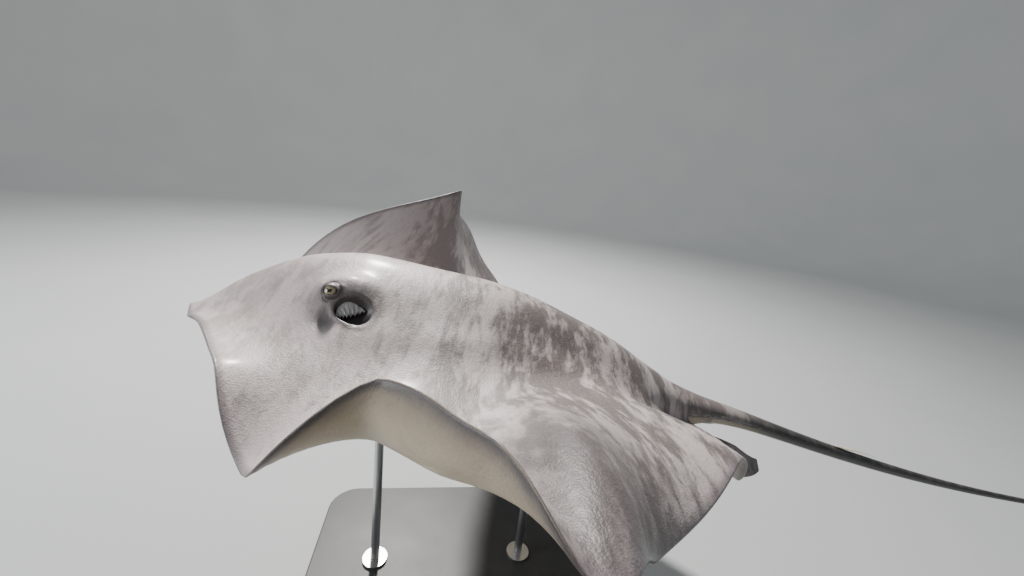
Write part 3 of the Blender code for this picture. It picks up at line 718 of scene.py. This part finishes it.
# ---------- shader maths ----------
class Term:
    """A number in a material's node tree; arithmetic on it adds Math nodes."""

    def __init__(self, finish, socket):
        self.finish = finish
        self.socket = socket

    def math(self, operation, *others):
        node = self.finish.tree.nodes.new("ShaderNodeMath")
        node.operation = operation
        for port, value in zip(node.inputs, (self, *others)):
            self.finish.feed(port, value)
        return Term(self.finish, node.outputs[0])

    def __add__(self, other):
        return self.math("ADD", other)

    def __sub__(self, other):
        return self.math("SUBTRACT", other)

    def __rsub__(self, other):
        return self * -1 + other

    def __mul__(self, other):
        return self.math("MULTIPLY", other)

    def __pow__(self, other):
        return self.math("POWER", other)

    __radd__ = __add__
    __rmul__ = __mul__

    def rise(self, low, high, start=0.0, end=1.0):
        """Smooth step from start to end while this number goes from low to high."""
        return self.finish.node("MapRange", 0, {"interpolation_type": "SMOOTHSTEP"},
                                (self, low, high, start, end))


class Finish:
    """A procedural material round one Principled BSDF."""

    def __init__(self, name, **constants):
        self.made = bpy.data.materials.new(name)
        self.made.use_nodes = True
        self.tree = self.made.node_tree
        self.shader = self.tree.nodes["Principled BSDF"]
        self.set(**constants)

    def feed(self, port, value):
        if isinstance(value, Term):
            self.tree.links.new(value.socket, port)
        else:
            port.default_value = value

    def set(self, **values):
        for name, value in values.items():
            self.feed(self.shader.inputs[name.replace("_", " ")], value)

    def node(self, kind, output, settings=None, inputs=()):
        """Any other node; inputs is a list in socket order or a dict by identifier."""
        made = self.tree.nodes.new("ShaderNode" + kind)
        for name, value in (settings or {}).items():
            setattr(made, name, value)
        named = inputs.items() if isinstance(inputs, dict) else enumerate(inputs)
        ports = {port.identifier: port for port in made.inputs}
        for key, value in named:
            self.feed(made.inputs[key] if isinstance(key, int) else ports[key], value)
        return Term(self, made.outputs[output])

    def attribute(self, name):
        """A stored vector and its three numbers."""
        vector = self.node("Attribute", "Vector", {"attribute_name": name})
        split = self.node("SeparateXYZ", 0, None, (vector,))
        return vector, [Term(self, split.socket.node.outputs[axis]) for axis in range(3)]

    def vector(self, x, y, z):
        return self.node("CombineXYZ", 0, None, (x, y, z))

    def noise(self, vector, scale, detail=3.0, roughness=0.5, distortion=0.0):
        return self.node("TexNoise", "Fac", None, {"Vector": vector, "Scale": scale, "Detail": detail,
                                                   "Roughness": roughness, "Distortion": distortion})

    def cells(self, vector, scale):
        return self.node("TexVoronoi", "Distance", None, {"Vector": vector, "Scale": scale})

    def mix(self, share, first, second):
        colours = [c if isinstance(c, Term) else (*c, 1.0) for c in (first, second)]
        return self.node("Mix", 2, {"data_type": "RGBA"},
                         {"Factor_Float": share, "A_Color": colours[0], "B_Color": colours[1]})

    def bump(self, height, distance, strength=1.0):
        self.set(Normal=self.node("Bump", 0, None, {"Height": height, "Distance": distance,
                                                    "Strength": strength}))


def skin_finish():
    """Pinkish grey back with darker mottling, cream belly, near-black tail and wet pores; painted
    shade darkens the outer front fins, the spiracles, the eye surrounds and the belly's tan.
    """
    made = Finish("ray_skin", Coat_Roughness=0.22, Specular_IOR_Level=0.45)
    flat, (v, u, layer) = made.attribute("flat")
    _, (margin, pigment_and_shade, tail) = made.attribute("marks_and_shade")
    _, (band, outer, _) = made.attribute("fin_band_and_shade")
    across = made.vector(v * 0.42, u, layer * 0.05)
    broad = made.noise(across, 8.0, 3.0, 0.55, 0.3)
    blotches = made.noise(across, 30.0, 4.0, 0.60, 0.35)
    flecks = made.noise(across, 85.0, 4.0, 0.62, 0.2)
    fine = made.noise(flat, 240.0, 3.0, 0.6)
    grain = made.noise(flat, 900.0, 2.0, 0.5)
    rear = u.rise(0.12, 0.60)
    field = blotches + (broad - 0.5) * 0.7 + (flecks - 0.5) * 0.45 + (rear - 0.5) * 0.10
    patch = field.rise(0.40, 0.64)
    tone = patch * (0.38 + rear * 0.54)
    back = made.mix(tone, (0.52, 0.450, 0.440), (0.120, 0.098, 0.094))
    back = made.mix(flecks.rise(0.52, 0.72) * 0.35, back, (0.24, 0.20, 0.195))
    back = made.mix(fine.rise(0.52, 0.72) * 0.25, back, (0.60, 0.525, 0.51))
    # Painted shade: the outer front of each fin is painted near black for the shadowed hollow of a
    # raised fin.
    back = made.mix(outer * (0.35 + flecks * 0.9), back, (0.085, 0.070, 0.072))
    back = made.mix(margin * 0.7, back, (0.13, 0.105, 0.12))
    dusky = made.noise(flat, 34.0, 4.0, 0.6, 0.5)
    # The belly's cream-tan is darker and warmer than the animal's own pale belly: painted shade and
    # warm bounce light.
    belly = made.mix(dusky.rise(0.50, 0.72) * 0.35, (0.56, 0.45, 0.315), (0.36, 0.285, 0.205))
    belly = made.mix(band * (0.35 + dusky * 0.7), belly, (0.24, 0.19, 0.155))
    belly = made.mix(margin * (0.6 + dusky * 0.8), belly, (0.11, 0.09, 0.088))
    under = layer.rise(0.25, -0.25)
    body = made.mix(under, back, belly)
    # Pigment and painted shade: near black in the spiracle pits and round the eyes, darker over the
    # hollows in front of the spiracles.
    body = made.mix(pigment_and_shade, body, (0.045, 0.036, 0.035))
    shade = made.noise(flat, 45.0, 3.0, 0.6)
    whip = made.mix(shade.rise(0.4, 0.7), (0.030, 0.029, 0.028), (0.085, 0.078, 0.075))
    made.set(Base_Color=made.mix(tail, body, whip))
    made.set(Roughness=0.36 + fine * 0.16 + grain * 0.08)
    made.set(Coat_Weight=0.22)
    pores = made.cells(flat, 520.0)
    folds = made.noise(across, 150.0, 3.0, 0.55)
    rays = made.node("TexWave", "Fac", {"wave_type": "RINGS", "rings_direction": "Z"},
                     {"Vector": made.vector(u - CENTRE_U, v, 0.0), "Scale": 22.0, "Distortion": 5.0,
                      "Detail": 2.0, "Detail Scale": 3.0})
    made.bump(pores * 0.35 + folds * 0.8 + grain * 0.25 + rays * 0.12, 0.0011, 0.8)
    return made.made


def eye_finish():
    """Dark ball with a pale golden iris and a crescent pupil; gaze is in eye radii."""
    made = Finish("ray_eye", Coat_Weight=1.0, Coat_Roughness=0.02, Roughness=0.12)
    gaze, (back, up, _) = made.attribute("gaze")
    out = (back * back + up * up) ** 0.5
    fibres = made.noise(gaze, 26.0, 4.0, 0.7)
    iris = made.mix(fibres.rise(0.35, 0.7), (0.30, 0.235, 0.135), (0.62, 0.53, 0.36))
    iris = made.mix((out + (fibres - 0.5) * 0.05).rise(0.58, 0.72), iris, (0.055, 0.045, 0.038))
    lobe = (back * back * 1.05 + (up + 0.04) * (up + 0.04) * 2.0) ** 0.5
    flap = (back * back * 1.7 + (up - 0.22) * (up - 0.22) * 1.7) ** 0.5
    pupil = lobe.rise(0.38, 0.35) * flap.rise(0.22, 0.25)
    made.set(Base_Color=made.mix(pupil, iris, (0.004, 0.004, 0.005)))
    return made.made


def valve_finish():
    """Pale folded skin with a duskier free edge."""
    made = Finish("spiracle_valve", Roughness=0.38, Coat_Weight=0.35, Coat_Roughness=0.2)
    _, (share, along, _) = made.attribute("fold")
    streak = made.noise(made.vector(share * 0.02, along * 0.5, 0.0), 60.0, 3.0, 0.6)
    pale = made.mix(streak.rise(0.35, 0.65), (0.30, 0.285, 0.28), (0.52, 0.50, 0.495))
    made.set(Base_Color=made.mix(share.rise(0.78, 1.0) * 0.55, pale, (0.16, 0.14, 0.14)))
    made.bump(streak, 0.0006, 0.8)
    return made.made


def spine_finish():
    made = Finish("spine", Roughness=0.42)
    place_at = made.node("TexCoord", "Object")
    streak = made.noise(place_at, 320.0, 3.0, 0.6)
    made.set(Base_Color=made.mix(streak.rise(0.35, 0.7), (0.66, 0.58, 0.47), (0.40, 0.31, 0.24)))
    made.bump(streak, 0.0003, 0.7)
    return made.made


def paint_finish():
    made = Finish("stand_paint", Metallic=0.0)
    place_at = made.node("TexCoord", "Object")
    texture = made.noise(place_at, 700.0, 2.0, 0.6)
    wear = made.noise(place_at, 9.0, 3.0, 0.6)
    made.set(Base_Color=made.mix(wear.rise(0.4, 0.7), (0.030, 0.031, 0.034), (0.042, 0.043, 0.046)))
    made.set(Roughness=0.38 + wear * 0.16)
    made.bump(texture, 0.0003, 0.6)
    return made.made


def steel_finish():
    made = Finish("stand_steel", Metallic=1.0)
    place_at = made.node("TexCoord", "Object")
    stretch = made.node("VectorMath", 0, {"operation": "MULTIPLY"}, (place_at, (1.0, 1.0, 40.0)))
    brushed = made.noise(stretch, 60.0, 3.0, 0.6)
    made.set(Base_Color=made.mix(brushed, (0.50, 0.50, 0.51), (0.64, 0.64, 0.65)))
    made.set(Roughness=0.24 + brushed * 0.16)
    made.bump(brushed, 0.0001, 0.5)
    return made.made


# ---------- eyeballs, valves and spine ----------
def eyeball(name, eye, finish):
    bm = bmesh.new()
    bmesh.ops.create_uvsphere(bm, u_segments=48, v_segments=32, radius=EYE_RADIUS - 0.0001)
    mesh = bpy.data.meshes.new(name)
    bm.to_mesh(mesh)
    bm.free()
    made = bpy.data.objects.new(name, mesh)
    bpy.context.scene.collection.objects.link(made)
    local = np.array([vert.co for vert in mesh.vertices])
    axes = np.stack([eye.back, eye.up, eye.gaze])
    mesh.vertices.foreach_set("co", (eye.centre + local @ axes).ravel())
    mesh.materials.append(finish)
    close_up(made)
    offset = np.array([vert.co for vert in made.data.vertices]) - eye.centre
    store(made, "gaze", offset @ axes.T / EYE_RADIUS)
    return made


def spiracle_valve(name, side, finish, along=61, out=15):
    """Thin flap with a ragged edge that hangs from the front and inner wall of a spiracle."""
    t = np.linspace(0, 1, along)[:, None]
    w = np.linspace(0, 1, out)[None, :]
    turn = np.radians(-58 - 152 * t)
    wall = np.stack([np.cos(turn) * SPIRACLE_LENGTH, np.sin(turn) * SPIRACLE_BREADTH], -1) * 0.80
    ragged = 0.0011 * np.sin(t * VALVE_FOLDS) + 0.0008 * np.sin(t * 101 + 1)
    bow = 0.0028 * np.sin(t * math.pi)
    edge_out = SPIRACLE_BREADTH * (1.16 * t - 0.62) + bow + ragged
    edge = np.stack([SPIRACLE_LENGTH * (0.52 - 1.18 * t), edge_out], -1)
    flat = wall * (1 - w[..., None]) + edge * w[..., None]
    du = flat[..., 0] * math.cos(SPIRACLE_SLANT) - flat[..., 1] * math.sin(SPIRACLE_SLANT)
    dv = flat[..., 0] * math.sin(SPIRACLE_SLANT) + flat[..., 1] * math.cos(SPIRACLE_SLANT)
    u, v = SPIRACLE_U + du, SPIRACLE_V + dv
    crease = 0.0006 * np.sin(t * VALVE_FOLDS) * w
    height = top_height(u, v) - 0.0100 + 0.0030 * np.sin(w * math.pi * 0.7) - crease
    thick = 0.0007 * np.sqrt(np.clip(1 - (2 * w - 1) ** 8, 0, 1))
    grids = [stand(pose(side, u, v, height + sign * thick)) for sign in (1, -1)]
    points = np.vstack([grid.reshape(-1, 3) for grid in grids])
    share, down = np.broadcast_arrays(w, t)
    fold = np.stack([share, down, np.zeros(share.shape)], -1).reshape(-1, 3)
    made = add_mesh(name, points, two_layers(along, out), finish)
    store(made, "fold", np.vstack([fold, fold]))
    close_up(made)
    return made


def two_layers(rows, columns):
    """Faces of two equal grids of points joined along their borders."""
    faces = []
    total = rows * columns

    def at(i, j, layer):
        return layer * total + i * columns + j

    for layer in (0, 1):
        for i in range(rows - 1):
            for j in range(columns - 1):
                quad = (at(i, j, layer), at(i, j + 1, layer),
                        at(i + 1, j + 1, layer), at(i + 1, j, layer))
                faces.append(quad if layer else quad[::-1])
    border = [(0, j) for j in range(columns)]
    border += [(i, columns - 1) for i in range(1, rows)]
    border += [(rows - 1, j) for j in range(columns - 2, -1, -1)]
    border += [(i, 0) for i in range(rows - 2, 0, -1)]
    for (i, j), (k, m) in zip(border, border[1:] + border[:1]):
        faces.append((at(i, j, 0), at(k, m, 0), at(k, m, 1), at(i, j, 1)))
    return faces


def tail_spine(finish, count=41, sides=12):
    share = np.linspace(0, 1, count)
    s = STING_START + share * STING_LENGTH
    half = STING_HALF_WIDTH * (1 - share ** 2.2) + STING_TIP_HALF_WIDTH
    half *= np.where(share < 0.04, 0.75 + share * 6, 1.0)
    floor = tail_half_height(s) + STING_GAP + STING_RISE * ease(share * 1.5)
    turn = np.arange(sides) * 2 * math.pi / sides
    rings = []
    places = tail_places(s)
    for centre, right, up, wide, low in zip(*places, half, floor):
        x = 0.96 * wide * np.cos(turn)
        z = low + 0.25 * wide + 0.22 * wide * np.sin(turn)
        rings.append(stand(centre + np.outer(x, right) + np.outer(z, up)))
    faces = []
    for i in range(count - 1):
        for j in range(sides):
            k = (j + 1) % sides
            faces.append((i * sides + j, i * sides + k, (i + 1) * sides + k, (i + 1) * sides + j))
    faces.append(tuple(range(sides)))
    faces.append(tuple(range((count - 1) * sides, count * sides)))
    made = add_mesh("tail_spine", np.vstack(rings), faces, finish)
    close_up(made)
    return made


# ---------- the piece list ----------
skin_paint = skin_finish()
eye_paint = eye_finish()
valve_paint = valve_finish()
eyes = [Eye(1), Eye(-1)]
skin = build_skin(skin_paint, eyes)
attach(skin, "root")
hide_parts("head", "trunk", "pectoral_fin_left", "pectoral_fin_right", "pelvic_fin_left",
            "pelvic_fin_right", "tail_base", "tail_middle", "tail_whip_front", "tail_whip_middle",
            "tail_whip_tip")
for eye, word in zip(eyes, ("left", "right")):
    ball = eyeball("eyeball_" + word, eye, eye_paint)
    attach(ball, "root")
    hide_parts("eye_" + word)
    valve = spiracle_valve("spiracle_valve_" + word, eye.side, valve_paint)
    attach(valve, "root")
spine = tail_spine(spine_finish())
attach(spine, "root")
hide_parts("tail_sting")
paint = paint_finish()
steel = steel_finish()
for name, finish in (("stand_base", paint), ("stand_rod_front", steel), ("stand_rod_rear", steel)):
    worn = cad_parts[name].data.materials
    worn.clear()
    worn.append(finish)


# ---------- floor, light and camera ----------
def sweep():
    """Pale floor that rises into a backdrop behind and beside the animal."""
    reach, rise, bend = 7.0, 8.0, 3.0
    around = np.linspace(0, 2 * math.pi, 97)[:-1]
    profile = [(0.0, 0.0)] + [(r, 0.0) for r in np.linspace(0.5, reach, 6)]
    for a in np.linspace(0, math.pi / 2, 12)[1:]:
        profile.append((reach + bend * math.sin(a), bend * (1 - math.cos(a))))
    profile += [(reach + bend, z) for z in np.linspace(bend, rise, 5)[1:]]
    points = [(0.0, 0.0, 0.0)]
    for r, z in profile[1:]:
        points += [(r * math.cos(a), r * math.sin(a), z) for a in around]
    count = len(around)
    faces = [(0, 1 + j, 1 + (j + 1) % count) for j in range(count)]
    for i in range(len(profile) - 2):
        for j in range(count):
            k = (j + 1) % count
            a = 1 + i * count
            faces.append((a + j, a + count + j, a + count + k, a + k))
    ground = Finish("ground", Roughness=0.9, Specular_IOR_Level=0.2)
    place_at = ground.node("TexCoord", "Object")
    tint = ground.noise(place_at, 1.3, 3.0, 0.5)
    ground.set(Base_Color=ground.mix(tint, (0.40, 0.42, 0.43), (0.46, 0.475, 0.48)))
    return add_mesh("ground", points, faces, ground.made)


def light(kind, place_at, watts, colour, **settings):
    """A lamp that shines at the animal."""
    data = bpy.data.lights.new("light", kind)
    data.energy = watts
    data.color = colour
    for name, value in settings.items():
        setattr(data, name, value)
    made = bpy.data.objects.new("light", data)
    bpy.context.scene.collection.objects.link(made)
    made.location = place_at
    ahead = Vector((0.0, 0.0, 0.6)) - Vector(place_at)
    made.rotation_euler = ahead.to_track_quat("-Z", "Y").to_euler()


sweep()
light("POINT", (-2.0, -0.3, 3.2), 1150, (1.0, 0.97, 0.92), shadow_soft_size=0.15)
light("AREA", (0.7, -3.6, 1.5), 75, (0.92, 0.96, 1.0), shape="DISK", size=1.8)
world = bpy.data.worlds.new("room")
bpy.context.scene.world = world
world.use_nodes = True
sky = world.node_tree.nodes["Background"].inputs
sky["Color"].default_value = (0.72, 0.80, 0.86, 1)
sky["Strength"].default_value = 0.30

camera = bpy.data.objects.new("camera", bpy.data.cameras.new("camera"))
bpy.context.scene.collection.objects.link(camera)
camera.data.lens = LENS
camera.data.clip_start = 0.02
camera.location = CAMERA_AT
turn = Matrix.Rotation(math.radians(CAMERA_HEADING), 4, "Z")
tilt = Matrix.Rotation(math.radians(90 - CAMERA_DIP), 4, "X")
roll = Matrix.Rotation(math.radians(CAMERA_ROLL), 4, "Z")
camera.rotation_euler = (turn @ tilt @ roll).to_euler()
bpy.context.scene.camera = camera

bpy.context.view_layer.update()
